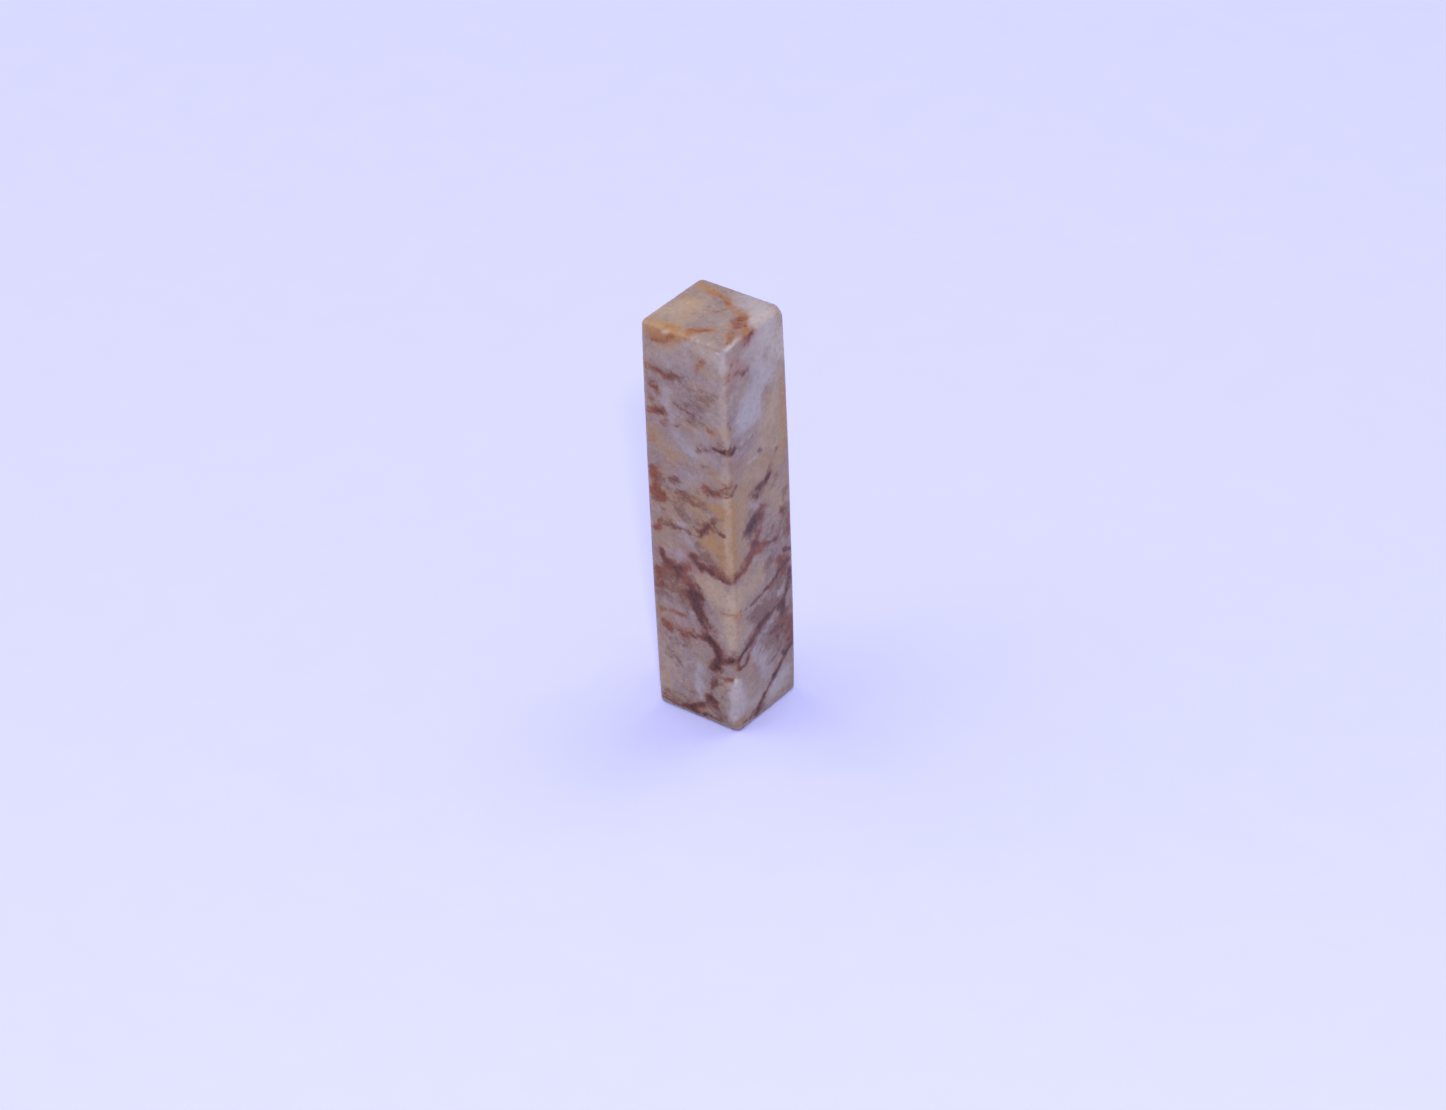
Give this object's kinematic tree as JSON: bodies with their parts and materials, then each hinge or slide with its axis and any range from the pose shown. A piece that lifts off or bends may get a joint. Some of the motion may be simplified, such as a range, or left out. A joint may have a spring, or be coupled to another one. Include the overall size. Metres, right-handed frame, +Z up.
{
  "type": "seal stamp",
  "caption": "Square-section stone seal stamp: a tall hand-lapped column with a flat top, worn round edges and a relief-carved stamping face at its foot.",
  "frame": {"origin": "middle of the carved stamping face, on the plane that the stamp stands on", "axes": "+Z up along the column, away from the stamping face; +X across the right side; -Y out of the front side"},
  "size_m": [0.012, 0.0116, 0.0515],
  "materials": {
    "veined_stone": "polished, greyish lilac and cream with rust and plum veins"
  },
  "bodies": {
    "root": {"seal_stone": "veined_stone"}
  },
  "joints": []
}
